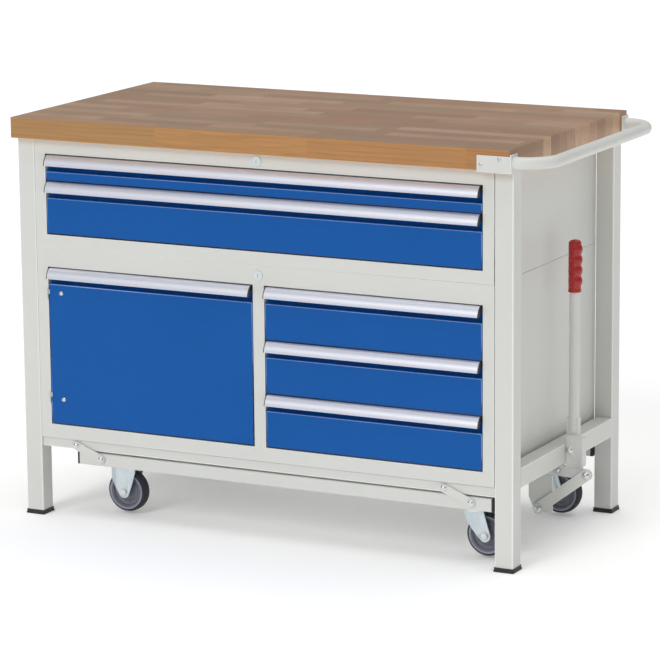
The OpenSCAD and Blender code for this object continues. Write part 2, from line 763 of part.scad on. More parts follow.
module wheel(x, s) color(tyre_grey) placed() translate([x, s * castor_y, axle_z])
    rotate([90, 0, 0]) rotate_extrude($fn = 72) difference() {
        polygon([
            [axle_r + pin_play, -hub_end], [13, -hub_end], [16, -wheel_w / 2 + 4],
            [wheel_d / 2 - tyre_h, -wheel_w / 2 + 2], [wheel_d / 2 - 4, -wheel_w / 2 + 1],
            [wheel_d / 2, -wheel_w / 2 + 8], [wheel_d / 2, wheel_w / 2 - 8],
            [wheel_d / 2 - 4, wheel_w / 2 - 1], [wheel_d / 2 - tyre_h, wheel_w / 2 - 2],
            [16, wheel_w / 2 - 4], [13, hub_end], [axle_r + pin_play, hub_end]]);
    }

// ---------- what is drawn ----------

worktop();
leg(-1, -1);  // leg_front_left
leg(1, -1);  // leg_front_right
leg(-1, 1);  // leg_rear_left
leg(1, 1);  // leg_rear_right
foot_caps();
frame_rails();
upper_cabinet_sides();
lower_cabinet_walls();
cabinet_floors();
cabinet_backs();
cupboard_shelf();
upper_face_frame();
lower_face_frame();
lock_housings();
push_bar();
push_bar_brackets();
frame_fasteners();
drawer_runners();
lever_pivot_bracket();
door_hinge_pins();
lock_cylinder(upper_lock_z);  // upper_lock_cylinder
lock_cylinder(lower_lock_z);  // lower_lock_cylinder
drawer_tray(1);  // drawer_1_tray
drawer_front(1);  // drawer_1_front
drawer_grip(1);  // drawer_1_grip
drawer_tray(2);  // drawer_2_tray
drawer_front(2);  // drawer_2_front
drawer_grip(2);  // drawer_2_grip
drawer_tray(3);  // drawer_3_tray
drawer_front(3);  // drawer_3_front
drawer_grip(3);  // drawer_3_grip
drawer_tray(4);  // drawer_4_tray
drawer_front(4);  // drawer_4_front
drawer_grip(4);  // drawer_4_grip
drawer_tray(5);  // drawer_5_tray
drawer_front(5);  // drawer_5_front
drawer_grip(5);  // drawer_5_grip
door_panel();
door_grip();
lever_bar();
lever_handle();
lever_yoke();
drawbar();
link(up_left, -1, false);  // link_front_left
link(up_right, -1, true);  // link_front_right
link(up_left, 1, true);  // link_rear_left
link(up_right, 1, true);  // link_rear_right
carriage_rails();
rail_end_caps();
carriage_cross_members();
carriage_pivot_bolts();
fixed_castor_forks();
swivel_castor_plates();
swivel_fork(-1);  // swivel_fork_front
swivel_fork(1);  // swivel_fork_rear
wheel(fixed_x, -1);  // wheel_front_left
wheel(fixed_x, 1);  // wheel_rear_left
wheel(swivel_x + trail, -1);  // wheel_front_right
wheel(swivel_x + trail, 1);  // wheel_rear_right
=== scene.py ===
import math
import bpy
import bmesh
from mathutils import Matrix, Vector


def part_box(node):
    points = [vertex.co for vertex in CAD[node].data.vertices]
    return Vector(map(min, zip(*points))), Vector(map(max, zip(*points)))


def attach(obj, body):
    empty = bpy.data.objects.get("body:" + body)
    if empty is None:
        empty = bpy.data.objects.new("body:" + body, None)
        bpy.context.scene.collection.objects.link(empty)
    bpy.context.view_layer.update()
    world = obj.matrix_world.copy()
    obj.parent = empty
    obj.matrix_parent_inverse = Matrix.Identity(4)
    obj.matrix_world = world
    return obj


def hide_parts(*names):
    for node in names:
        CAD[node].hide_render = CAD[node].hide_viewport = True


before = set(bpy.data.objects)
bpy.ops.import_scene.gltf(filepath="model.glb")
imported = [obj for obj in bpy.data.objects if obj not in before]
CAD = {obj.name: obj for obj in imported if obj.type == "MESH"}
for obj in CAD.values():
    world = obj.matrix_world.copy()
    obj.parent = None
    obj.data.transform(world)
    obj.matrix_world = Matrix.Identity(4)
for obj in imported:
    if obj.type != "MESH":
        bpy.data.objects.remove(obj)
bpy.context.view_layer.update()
scene = bpy.context.scene
MM = 0.001
TOP_Z = 0.94  # the working face
TOP_HALF_DEPTH = 0.33
NEAR = 0.05 * MM  # two faces closer than this are in one plane

# ---------------------------------------------------------------- camera
cam = bpy.data.objects.new("camera", bpy.data.cameras.new("camera"))
scene.collection.objects.link(cam)
cam.data.lens = 185.92
cam.data.sensor_width = 36.0
cam.data.clip_end = 60.0
CAM_PLACE = (3.4841, -6.8953, 2.0508)
CAM_YAW, CAM_DOWN, CAM_ROLL = 26.945, 11.797, -0.519
cam.matrix_world = (Matrix.Translation(CAM_PLACE)
                    @ Matrix.Rotation(math.radians(CAM_YAW), 4, "Z")
                    @ Matrix.Rotation(math.radians(90 - CAM_DOWN), 4, "X")
                    @ Matrix.Rotation(math.radians(CAM_ROLL), 4, "Z"))
scene.camera = cam
scene.view_settings.view_transform = "Standard"


# ---------------------------------------------------------------- materials
class Nodes:
    """Small helper that builds a procedural material. Every input is a socket or a plain value."""

    def __init__(self, name):
        self.mat = bpy.data.materials.new(name)
        self.mat.use_nodes = True
        self.tree = self.mat.node_tree
        self.shader = self.tree.nodes["Principled BSDF"]
        self.place = self.add("ShaderNodeTexCoord").outputs["Object"]

    def add(self, kind, **settings):
        node = self.tree.nodes.new(kind)
        for key, value in settings.items():
            setattr(node, key, value)
        return node

    def put(self, socket, value):
        if isinstance(value, bpy.types.NodeSocket):
            self.tree.links.new(value, socket)
        else:
            socket.default_value = value

    def math(self, operation, a, b=0.0):
        node = self.add("ShaderNodeMath", operation=operation)
        self.put(node.inputs[0], a)
        self.put(node.inputs[1], b)
        return node.outputs[0]

    def split(self, vector):
        node = self.add("ShaderNodeSeparateXYZ")
        self.put(node.inputs[0], vector)
        return node.outputs

    def join(self, x, y, z):
        node = self.add("ShaderNodeCombineXYZ")
        for socket, value in zip(node.inputs, (x, y, z)):
            self.put(socket, value)
        return node.outputs[0]

    def stretch(self, sx, sy, sz):
        node = self.add("ShaderNodeVectorMath", operation="MULTIPLY")
        self.put(node.inputs[0], self.place)
        node.inputs[1].default_value = (sx, sy, sz)
        return node.outputs[0]

    def noise(self, vector, scale=1.0, detail=3.0, rough=0.55, distortion=0.0):
        node = self.add("ShaderNodeTexNoise")
        self.put(node.inputs["Vector"], vector)
        node.inputs["Scale"].default_value = scale
        node.inputs["Detail"].default_value = detail
        node.inputs["Roughness"].default_value = rough
        node.inputs["Distortion"].default_value = distortion
        return node.outputs["Fac"]

    def white(self, vector):
        node = self.add("ShaderNodeTexWhiteNoise", noise_dimensions="3D")
        self.put(node.inputs["Vector"], vector)
        return node.outputs["Value"]

    def ramp(self, factor, *stops):
        node = self.add("ShaderNodeValToRGB")
        self.put(node.inputs[0], factor)
        bar = node.color_ramp
        while len(bar.elements) < len(stops):
            bar.elements.new(0.5)
        for element, (at, colour) in zip(bar.elements, stops):
            element.position = at
            element.color = (*colour, 1) if isinstance(colour, tuple) else (colour, colour, colour, 1)
        return node.outputs[0]

    def mix(self, factor, a, b):
        node = self.add("ShaderNodeMix", data_type="RGBA")
        self.put(node.inputs[0], factor)
        for socket, value in ((node.inputs[6], a), (node.inputs[7], b)):
            self.put(socket, (*value, 1) if isinstance(value, tuple) else value)
        return node.outputs[2]

    def facing(self):
        """The surface's own direction, as x, y and z sockets."""
        return self.split(self.add("ShaderNodeTexCoord").outputs["Normal"])

    def bump(self, height, distance, strength, normal=None):
        node = self.add("ShaderNodeBump")
        self.put(node.inputs["Height"], height)
        node.inputs["Distance"].default_value = distance
        node.inputs["Strength"].default_value = strength
        if normal is not None:
            self.put(node.inputs["Normal"], normal)
        return node.outputs[0]

    def finish(self, colour, rough, normal=None, **constants):
        self.put(self.shader.inputs["Base Color"], colour)
        self.put(self.shader.inputs["Roughness"], rough)
        if normal is not None:
            self.put(self.shader.inputs["Normal"], normal)
        for key, value in constants.items():
            self.shader.inputs[key.replace("_", " ")].default_value = value
        return self.mat


def powder_coat(name, light, dark, rough_low, rough_high, dust, gloss=0.4, shade=None, turn=None):
    """Baked powder coat: fine orange peel, a little tone drift and faint wiping marks.

    shade is a painted shade colour, put where the surface faces down more than turn says (0 is down, 1 is
    up)."""
    n = Nodes(name)
    drift = n.noise(n.place, 2.2, 4.0, 0.6)
    cloud = n.noise(n.place, 38.0, 5.0, 0.65)
    colour = n.mix(n.ramp(drift, (0.3, 0.0), (0.7, 1.0)), dark, light)
    speck = n.ramp(n.noise(n.place, 1500.0, 1.0), (0.66, 0.0), (0.74, 1.0))
    colour = n.mix(n.math("MULTIPLY", speck, 0.10), colour, dust)
    # painted shade: faces that turn down take the shade colour instead of the coat
    if shade:
        upward = n.math("ADD", n.math("MULTIPLY", n.facing()[2], 0.5), 0.5)
        colour = n.mix(n.ramp(upward, (turn[0], 0.0), (turn[1], 1.0)), shade, colour)
    wipes = n.noise(n.stretch(9.0, 60.0, 160.0), 1.0, 4.0, 0.7, 0.6)
    rough = n.ramp(n.math("ADD", n.math("MULTIPLY", cloud, 0.6), n.math("MULTIPLY", wipes, 0.4)),
                   (0.35, rough_low), (0.65, rough_high))
    peel = n.bump(n.noise(n.place, 620.0, 2.0, 0.5), 0.00006, 0.5)
    fine = n.bump(n.noise(n.place, 2600.0, 1.0), 0.00002, 0.5, peel)
    return n.finish(colour, rough, fine, Specular_IOR_Level=gloss)


def laminated_beech():
    """Oiled beech glued from staves: own tone, rings, pores and flecks in every stave, fine glue lines."""
    n = Nodes("laminated_beech")
    x, y, z = n.split(n.place)
    stave = 44 * MM
    across = n.math("DIVIDE", n.math("ADD", y, TOP_HALF_DEPTH), stave)
    row = n.math("FLOOR", across)
    shift = n.math("MULTIPLY", n.white(n.join(row, 3.7, 1.3)), 2.0)
    length = n.math("ADD", 0.27, n.math("MULTIPLY", n.white(n.join(row, 9.1, 4.4)), 0.20))
    along = n.math("DIVIDE", n.math("ADD", n.math("ADD", x, 5.0), shift), length)
    piece = n.math("FLOOR", along)
    tone = n.white(n.join(row, piece, 2.5))
    hue = n.white(n.join(row, piece, 8.5))

    def grain(lengthwise, crosswise, offset=0.0):
        """Coordinates drawn out along the stave, with another cut of the pattern in every stave."""
        depth = n.math("MULTIPLY", z, crosswise)
        if offset:
            depth = n.math("ADD", depth, n.math("MULTIPLY", tone, offset))
        return n.join(n.math("MULTIPLY", x, lengthwise), n.math("MULTIPLY", y, crosswise), depth)

    # growth rings around a heart that lies somewhere else for every stave
    heart_y = n.math("MULTIPLY", n.math("SUBTRACT", n.white(n.join(row, piece, 5.5)), 0.5), 0.24)
    heart_z = n.math("ADD", 0.06, n.math("MULTIPLY", hue, 0.12))
    sway = n.noise(grain(1.6, 9.0, 31.0), 1.0, 3.0, 0.5)
    dy = n.math("SUBTRACT", y, heart_y)
    dz = n.math("SUBTRACT", n.math("SUBTRACT", z, TOP_Z), heart_z)
    radius = n.math("SQRT", n.math("ADD", n.math("MULTIPLY", dy, dy), n.math("MULTIPLY", dz, dz)))
    radius = n.math("ADD", radius, n.math("MULTIPLY", sway, 0.028))
    ring = n.math("SINE", n.math("MULTIPLY", radius, 1150.0))
    fibre = n.noise(grain(6.0, 210.0, 77.0), 1.0, 5.0, 0.65)
    pores = n.noise(grain(60.0, 1300.0), 1.0, 2.0, 0.6)
    flecks = n.add("ShaderNodeTexVoronoi")
    n.put(flecks.inputs["Vector"], grain(55.0, 520.0))
    fleck = n.ramp(flecks.outputs["Distance"], (0.10, 1.0), (0.24, 0.0))
    # the working face is painted darker and greyer than the front edge, as painted shade and painted sheen,
    # with random patches over it; end grain is duller
    normal = n.facing()
    wear = n.noise(n.place, 5.0, 5.0, 0.6)
    face = n.ramp(normal[2], (0.60, 0.0), (0.70, 1.0))
    end = n.ramp(n.math("ABSOLUTE", normal[0]), (0.60, 0.0), (0.70, 1.0))
    colour = n.mix(tone, (0.80, 0.355, 0.098), (1.0, 0.575, 0.185))
    # painted shade and painted sheen: the darker, greyer colour of the working face
    top_painted_shade = n.mix(tone, (0.300, 0.180, 0.104), (0.480, 0.312, 0.193))
    top_painted_shade = n.mix(n.ramp(wear, (0.35, 0.0), (0.65, 0.5)), top_painted_shade, (0.300, 0.205, 0.140))
    streak = n.noise(n.join(0.0, n.math("MULTIPLY", y, 190.0), n.math("MULTIPLY", z, 14.0)), 1.0, 3.0, 0.6)
    cut = n.mix(tone, (0.350, 0.190, 0.098), (0.700, 0.460, 0.275))
    cut = n.mix(n.ramp(streak, (0.35, 0.45), (0.65, 0.0)), cut, (0.250, 0.140, 0.080))
    colour = n.mix(end, n.mix(face, colour, top_painted_shade), cut)
    for mask, share, tint in (
            (n.ramp(hue, (0.72, 0.0), (0.95, 1.0)), 0.45, (0.36, 0.150, 0.060)),
            (n.ramp(ring, (0.45, 0.0), (1.0, 1.0)), 0.16, (0.22, 0.10, 0.04)),
            (n.ramp(fibre, (0.35, 1.0), (0.62, 0.0)), 0.26, (0.24, 0.115, 0.05)),
            (fleck, 0.22, (0.19, 0.075, 0.03)),
            (n.ramp(pores, (0.62, 0.0), (0.72, 1.0)), 0.30, (0.16, 0.07, 0.03))):
        colour = n.mix(n.math("MULTIPLY", mask, share), colour, tint)

    def seam(value, width):
        """1 on the glue line between two whole numbers, fading out over width."""
        part = n.math("FRACT", value)
        near = n.math("MINIMUM", part, n.math("SUBTRACT", 1.0, part))
        return n.ramp(near, (0.0, 1.0), (width, 0.0))

    lines = n.math("MAXIMUM", seam(across, 0.016), seam(along, 0.0022))
    colour = n.mix(n.math("MULTIPLY", lines, 0.50), colour, (0.10, 0.05, 0.025))
    rough = n.ramp(n.math("ADD", n.math("MULTIPLY", wear, 0.7), n.math("MULTIPLY", fibre, 0.3)),
                   (0.35, 0.36), (0.65, 0.50))
    bump = n.bump(fibre, 0.00018, 0.5)
    bump = n.bump(pores, 0.00008, 0.4, bump)
    bump = n.bump(n.math("SUBTRACT", 1.0, lines), 0.00015, 0.6, bump)
    return n.finish(colour, rough, bump)


def metal(name, light, dark, rough_low, rough_high, stretch, spangle=0.0, metallic=1.0):
    """Bare or plated metal: drawing lines along one way, cloudy tone, and spangle where it is zinc."""
    n = Nodes(name)
    lines = n.noise(n.stretch(*stretch), 1.0, 4.0, 0.7)
    cloud = n.noise(n.place, 45.0, 5.0, 0.6)
    tone = n.math("ADD", n.math("MULTIPLY", lines, 0.6), n.math("MULTIPLY", cloud, 0.4))
    if spangle:
        cells = n.add("ShaderNodeTexVoronoi")
        n.put(cells.inputs["Vector"], n.stretch(230.0, 230.0, 230.0))
        tone = n.mix(spangle, tone, cells.outputs["Color"])
    colour = n.mix(n.ramp(tone, (0.3, 0.0), (0.7, 1.0)), dark, light)
    rough = n.ramp(tone, (0.3, rough_high), (0.7, rough_low))
    bump = n.bump(lines, 0.00003, 0.5)
    return n.finish(colour, rough, bump, Metallic=metallic)


def moulded(name, light, dark, rough_low, rough_high, grain, depth):
    """Moulded plastic or rubber with a fine even grain and slight scuffs."""
    n = Nodes(name)
    scuff = n.noise(n.place, 70.0, 6.0, 0.7, 0.5)
    colour = n.mix(n.ramp(scuff, (0.35, 0.0), (0.72, 1.0)), dark, light)
    rough = n.ramp(scuff, (0.3, rough_low), (0.7, rough_high))
    bump = n.bump(n.noise(n.place, grain, 2.0, 0.6), depth, 0.7)
    return n.finish(colour, rough, bump)


# rounded folds get a paler, glossier grey than the flat sheet beside them: a painted highlight for the light
# they catch
PAINTED_HIGHLIGHT_GREY = ((0.86, 0.87, 0.84), (0.81, 0.82, 0.79), 0.20, 0.30, (0.60, 0.60, 0.58), 0.6)
GREY = powder_coat("grey_powder_coat", (0.675, 0.683, 0.652), (0.645, 0.653, 0.622), 0.34, 0.46,
                   (0.50, 0.50, 0.48))
BLUE = powder_coat("blue_powder_coat", (0.004, 0.098, 0.378), (0.003, 0.089, 0.350), 0.30, 0.42,
                   (0.03, 0.15, 0.45), 0.15)
# painted highlight for the rounded grey folds and tube corners
GREY_FOLD_HIGHLIGHT = powder_coat("grey_fold_painted_highlight", *PAINTED_HIGHLIGHT_GREY)
# blue folds: a pale blue painted highlight where they face up, a dark navy painted shade where they face
# sideways and down
BLUE_FOLD_HIGHLIGHT_SHADE = powder_coat("blue_fold_painted_highlight_and_shade", (0.210, 0.360, 0.780), (0.180, 0.320, 0.720), 0.22, 0.34,
                        (0.10, 0.24, 0.58), 0.5, (0.002, 0.040, 0.170), (0.51, 0.56))
# face frame folds: the pale grey painted highlight, with a darker grey painted shade where they face down
# into the seams
RIM_FOLD_HIGHLIGHT_SHADE = powder_coat("grey_frame_edge_painted_highlight_and_shade", *PAINTED_HIGHLIGHT_GREY, (0.330, 0.335, 0.315), (0.26, 0.38))
BEECH = laminated_beech()
ALU = metal("anodised_strip", (0.73, 0.745, 0.825), (0.65, 0.665, 0.745), 0.32, 0.44,
            (2.0, 1500.0, 1500.0), metallic=0.6)
ZINC = metal("zinc_plate", (0.72, 0.79, 0.81), (0.55, 0.62, 0.65), 0.30, 0.46, (120.0, 120.0, 500.0), 0.35)
BOLT = metal("bright_bolt", (0.80, 0.81, 0.80), (0.55, 0.56, 0.56), 0.18, 0.34, (700.0, 700.0, 700.0))
BLACK = moulded("black_moulding", (0.030, 0.030, 0.029), (0.014, 0.014, 0.014), 0.38, 0.55, 1800.0, 0.00005)
RED = moulded("red_vinyl", (0.45, 0.016, 0.016), (0.33, 0.010, 0.010), 0.20, 0.32, 1500.0, 0.00005)
TREAD = moulded("tyre_tread", (0.030, 0.031, 0.042), (0.014, 0.015, 0.022), 0.55, 0.75, 900.0, 0.00012)
# paler rubber on the tyre's side wall: a painted highlight ring
SIDEWALL_HIGHLIGHT = moulded("tyre_side_painted_highlight", (0.300, 0.315, 0.375), (0.235, 0.248, 0.305), 0.40, 0.55, 1100.0, 0.00006)
HUB = moulded("hub_plastic", (0.185, 0.190, 0.232), (0.130, 0.135, 0.170), 0.35, 0.50, 1300.0, 0.00005)


# ---------------------------------------------------------------- mesh helpers
def make(name, bm, body, slot, *materials, replaces=(), sharp=38.0, bevel=0.0, segments=2, weights=False):
    """Turns a bmesh into a piece that rides on a body.

    The bevel is on the marked edges if weights is true, otherwise on the sharp ones."""
    bmesh.ops.recalc_face_normals(bm, faces=bm.faces)
    mesh = bpy.data.meshes.new(name)
    bm.to_mesh(mesh)
    bm.free()
    obj = bpy.data.objects.new(name, mesh)
    scene.collection.objects.link(obj)
    for material in materials:
        mesh.materials.append(material)
    mesh.polygons.foreach_set("use_smooth", [True] * len(mesh.polygons))
    mesh.set_sharp_from_angle(angle=math.radians(sharp))
    if bevel:
        mod = obj.modifiers.new("edges", "BEVEL")
        mod.width = bevel
        mod.segments = segments
        mod.limit_method = "WEIGHT" if weights else "ANGLE"
        mod.angle_limit = math.radians(60.0)
        mod.harden_normals = True
        mod.use_clamp_overlap = not weights
    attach(obj, body)
    if replaces:
        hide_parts(*replaces)
    return obj


def refine(node, body, slot, material, width, pick, segments=2, fold=None, zones=()):
    """The same sheet-metal shape as a CAD node, with its folds and cut edges rounded where pick(edge) says.

    fold is the material of the rounded folds, which paints a highlight on them and painted shade on the
    fronts' and face frames' folds that turn away from the top; zones are (material, test of a face) pairs."""
    bm = bmesh.new()
    bm.from_mesh(CAD[node].data)
    bmesh.ops.remove_doubles(bm, verts=bm.verts, dist=0.002 * MM)
    bmesh.ops.dissolve_limit(bm, angle_limit=math.radians(1.0), verts=bm.verts, edges=bm.edges)
    weight = bm.edges.layers.float.new("bevel_weight_edge")
    for edge in bm.edges:
        if len(edge.link_faces) == 2 and edge.calc_face_angle_signed() > math.radians(45) and pick(edge):
            edge[weight] = 1.0
    for face in bm.faces:
        for k, (_, test) in enumerate(zones):
            if test(face):
                face.material_index = 2 + k
    obj = make(node + "_sheet", bm, body, slot, material, fold or material, *[m for m, _ in zones],
               replaces=(node,), bevel=width, segments=segments, weights=True)
    obj.modifiers["edges"].material = 1 if fold else -1


def lathe(bm, profile, centre, side, steps, material=None):
    """Turns (radius, along) pairs about the line through centre along side * Y and adds the faces to bm."""
    place = Matrix.Translation(centre) @ Matrix.Rotation(math.radians(-90 * side), 4, "X")
    rings = []
    for radius, along in profile:
        if radius < 1e-7:
            rings.append([bm.verts.new(place @ Vector((0, 0, along)))])
        else:
            rings.append([bm.verts.new(place @ Vector((radius * math.cos(2 * math.pi * k / steps),
                                                       radius * math.sin(2 * math.pi * k / steps), along)))
                          for k in range(steps)])
    for i, (low, high) in enumerate(zip(rings, rings[1:])):
        for k in range(steps):
            a, b = k % len(low), (k + 1) % len(low)
            c, d = (k + 1) % len(high), k % len(high)
            corners = [low[a]] + ([low[b]] if len(low) > 1 else [])
            corners += [high[c]] + ([high[d]] if len(high) > 1 else [])
            face = bm.faces.new(corners)
            if material is not None:
                face.material_index = material[i]


def extrude_x(bm, profile, x0, x1):
    """Closed (y, z) profile pulled from x0 to x1."""
    a = [bm.verts.new((x0, y, z)) for y, z in profile]
    b = [bm.verts.new((x1, y, z)) for y, z in profile]
    count = len(profile)
    for k in range(count):
        bm.faces.new((a[k], a[(k + 1) % count], b[(k + 1) % count], b[k]))
    bm.faces.new(a)
    bm.faces.new(b[::-1])


def dome(bm, x, z, radius, y0, side, height, washer):
    """Domed bolt head on a washer, standing out of the plane y0 towards side * Y."""
    rim = radius * 0.76
    foot = washer + 0.25 * MM
    profile = [(0, 0.0), (radius, 0.0), (radius, washer * 0.7), (radius - 0.3 * MM, washer),
               (rim + 0.2 * MM, washer)]
    for k in range(9):
        turn = math.radians(90 * k / 8)
        profile.append((rim * math.cos(turn) if k < 8 else 0.0, foot + (height - foot) * math.sin(turn)))
    lathe(bm, profile, (x, y0, z), side, 40)


def shank(bm, x, y0, z, radius, length):
    """Plain bolt shank that runs back along Y from the plane y0."""
    lathe(bm, [(0, 0), (radius, 0), (radius, length), (0, length)], (x, y0, z), 1, 32)


def paint(node, material):
    """Gives a CAD node that is shown as it is its only material."""
    data = CAD[node].data
    data.materials.clear()
    data.materials.append(material)


# ---------------------------------------------------------------- bench frame
frame_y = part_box("lower_face_frame")[0].y
paint("worktop", BEECH)
for node in ("upper_cabinet_sides", "lower_cabinet_walls", "cabinet_floors", "cabinet_backs",
             "cupboard_shelf", "push_bar", "lever_pivot_bracket", "lever_bar", "carriage_rails",
             "carriage_cross_members"):
    paint(node, GREY)
for node in ("drawer_runners", "lock_housings", "swivel_castor_plates"):
    paint(node, ZINC)
paint("door_hinge_pins", GREY)
paint("rail_end_caps", BLACK)


def front_edge(edge):
    """True on an edge in the plane of the cabinets' fronts."""
    return all(abs(v.co.y - frame_y) < NEAR for v in edge.verts)


def tube_corner(face):
    """True on the rounded corners of the square tubes that get a painted highlight, at the back and on top
    only if they face outwards.
    """
    middle = face.calc_center_median()
    corner = sum(abs(part) > 0.2 for part in face.normal) > 1
    outward = face.normal.x * middle.x > 0 and abs(face.normal.x) > 0.2
    return corner and (outward or (middle.y < 0 and face.normal.z < 0.2))


# the tubes' rounded corners take the paler grey as a painted highlight
for node in ("leg_front_left", "leg_front_right", "leg_rear_left", "leg_rear_right", "frame_rails"):
    refine(node, "bench", "grey_paint", GREY, 0.2 * MM, lambda edge: False, zones=((GREY_FOLD_HIGHLIGHT, tube_corner),))
for i in range(1, 6):
    paint(f"drawer_{i}_tray", GREY)
for node in ("upper_lock_cylinder", "lower_lock_cylinder"):
    paint(node, BOLT)

# the face frames' folds: a painted highlight, with painted shade where they face down into the seams
for node in ("upper_face_frame", "lower_face_frame"):
    refine(node, "bench", "grey_paint", GREY, 0.9 * MM, front_edge, fold=RIM_FOLD_HIGHLIGHT_SHADE)

bracket_lo, bracket_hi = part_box("push_bar_brackets")
face_side = abs(bracket_lo.y)


def bracket_edge(edge):
    """True on the outlines of a bracket's outer face and of its end face."""
    outer = all(abs(abs(v.co.y) - face_side) < NEAR for v in edge.verts)
    return outer or all(abs(v.co.x - bracket_hi.x) < NEAR for v in edge.verts)


def cap_edge(edge):
    """True on a foot cap's long edges above the floor."""
    return all(v.co.z > 0.1 * MM for v in edge.verts) and edge.calc_length() > 20 * MM


# the brackets' folds take the paler grey as a painted highlight
refine("push_bar_brackets", "bench", "grey_paint", GREY, 1.1 * MM, bracket_edge, 3, GREY_FOLD_HIGHLIGHT)
refine("foot_caps", "bench", "black_plastic", BLACK, 0.9 * MM, cap_edge)

# weld beads where the push bar meets its brackets
bar_lo, bar_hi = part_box("push_bar")
bar_z = 0.5 * (bar_lo.z + bar_hi.z)
bar_r = 0.5 * (bar_hi.z - bar_lo.z)
bead_r = 1.9 * MM
steps = 72
bm = bmesh.new()
for side in (-1, 1):
    y = side * (bar_hi.y - bar_r)
    rows = []
    for k in range(steps):
        turn = 2 * math.pi * k / steps
        swell = 1.0 + 0.16 * math.sin(19 * turn) + 0.08 * math.sin(31 * turn + side)
        ring = []
        for j in range(7):
            lift = math.radians(15 * j)
            out = bar_r + bead_r * swell * (1 - math.sin(lift))
            along = bead_r * swell * (1 - math.cos(lift)) - 0.1 * MM
            place = (bracket_hi.x + along, y + out * math.cos(turn), bar_z + out * math.sin(turn))
            ring.append(bm.verts.new(place))
        rows.append(ring)
    for here, after in zip(rows, rows[1:] + rows[:1]):
        for j in range(6):
            bm.faces.new((here[j], here[j + 1], after[j + 1], after[j]))
make("push_bar_welds", bm, "bench", "grey_paint", GREY)


# ---------------------------------------------------------------- fasteners
def cross_screw(bm, x, z, y0, side, radius, height):
    """Pan head on the plane y0 towards side * Y, with the arms of a cross sunk into it."""
    steps = 48
    rows = []
    for j in range(10):
        share = j / 10
        r = radius * (1 - share)
        ring = []
        for k in range(steps):
            turn = 2 * math.pi * k / steps
            px, pz = r * math.cos(turn), r * math.sin(turn)
            rise = height * math.sqrt(max(0.0, 1 - (1 - share) ** 4))
            if min(abs(px), abs(pz)) < 0.13 * radius and max(abs(px), abs(pz)) < 0.62 * radius:
                rise -= height * 0.5
            ring.append(bm.verts.new((x + px, y0 + side * rise, z + pz)))
        rows.append(ring)
    tip = bm.verts.new((x, y0 + side * height * 0.45, z))
    for a, b in zip(rows, rows[1:]):
        for k in range(steps):
            bm.faces.new((a[k], a[(k + 1) % steps], b[(k + 1) % steps], b[k]))
    for k in range(steps):
        bm.faces.new((rows[-1][k], rows[-1][(k + 1) % steps], tip))
    bm.faces.new(rows[0][::-1])


worktop_lo, worktop_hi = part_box("worktop")
middle_x = (worktop_lo.x + worktop_hi.x) / 2
bm = bmesh.new()
for side in (-1, 1):
    for out, z in ((600 * MM, bracket_hi.z - 12 * MM), (557 * MM, bracket_lo.z + 16 * MM)):
        cross_screw(bm, middle_x + out, z, side * face_side, side, 4.5 * MM, 2.2 * MM)
make("bracket_screws", bm, "bench", "zinc", BOLT, sharp=50)

# bolts of the links and the lever: a domed head over a washer, and the shank behind it
link_end = 10 * MM
head_y = abs(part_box("link_front_left")[0].y) + 0.3 * MM
FRONT_LINKS = [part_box(node) for node in ("link_front_left", "link_front_right")]


def link_bolt(bm, x, z, side):
    """Bolt on the outer side of a link, side -1 in front and 1 at the back."""
    length = 4.9 * MM
    dome(bm, x, z, 8.5 * MM, side * head_y, side, 4.6 * MM, 1.1 * MM)
    shank(bm, x, head_y - length if side > 0 else -head_y, z, 4 * MM, length)


tab_lo, tab_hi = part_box("lever_pivot_bracket")
pivot_x = 0.5 * (tab_lo.x + tab_hi.x)
lever_z = tab_lo.z + 13 * MM
yoke_y = -10.3 * MM  # under the head of the lever's pivot bolt
bm = bmesh.new()
for side in (-1, 1):
    for lo, hi in FRONT_LINKS:
        link_bolt(bm, lo.x + link_end, hi.z - link_end, side)
dome(bm, pivot_x, lever_z, 9 * MM, yoke_y, -1, 4.8 * MM, 1.2 * MM)
shank(bm, pivot_x, yoke_y, lever_z, 5 * MM, 5.9 * MM)
make("pivot_bolts", bm, "bench", "zinc", BOLT, replaces=("frame_fasteners",), sharp=40)

drawbar_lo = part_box("drawbar")[0]
drawbar_end = 13 * MM
drawbar_y = -16 * MM  # under the head of the drawbar's lower bolt
bm = bmesh.new()
for side in (-1, 1):
    for lo, hi in FRONT_LINKS:
        link_bolt(bm, hi.x - link_end, lo.z + link_end, side)
low_x, low_z = drawbar_lo.x + drawbar_end, drawbar_lo.z + drawbar_end
dome(bm, low_x, low_z, 11 * MM, drawbar_y, -1, 5.6 * MM, 1.3 * MM)
shank(bm, low_x, drawbar_y, low_z, 4 * MM, 6.5 * MM)
make("carriage_bolts", bm, "carriage", "zinc", BOLT, replaces=("carriage_pivot_bolts",), sharp=40)


# ---------------------------------------------------------------- fronts
# the drawer and door fronts' folds: a painted highlight on the top fold, painted shade on the side and bottom
# folds
for i in range(1, 6):
    refine(f"drawer_{i}_front", f"drawer_{i}", "blue_paint", BLUE, 2.2 * MM, front_edge, 3, BLUE_FOLD_HIGHLIGHT_SHADE)
refine("door_panel", "door", "blue_paint", BLUE, 2.2 * MM, front_edge, 3, BLUE_FOLD_HIGHLIGHT_SHADE,
       ((GREY, lambda face: face.calc_center_median().y < frame_y - 0.1 * MM),))


def flat_arc(degrees):
    """A quarter turn drawn flatter than a circle: shares of the reach and of the height."""
    turn = math.radians(degrees)
    return max(0.0, math.sin(turn)) ** 1.22, max(0.0, math.cos(turn)) ** 1.22


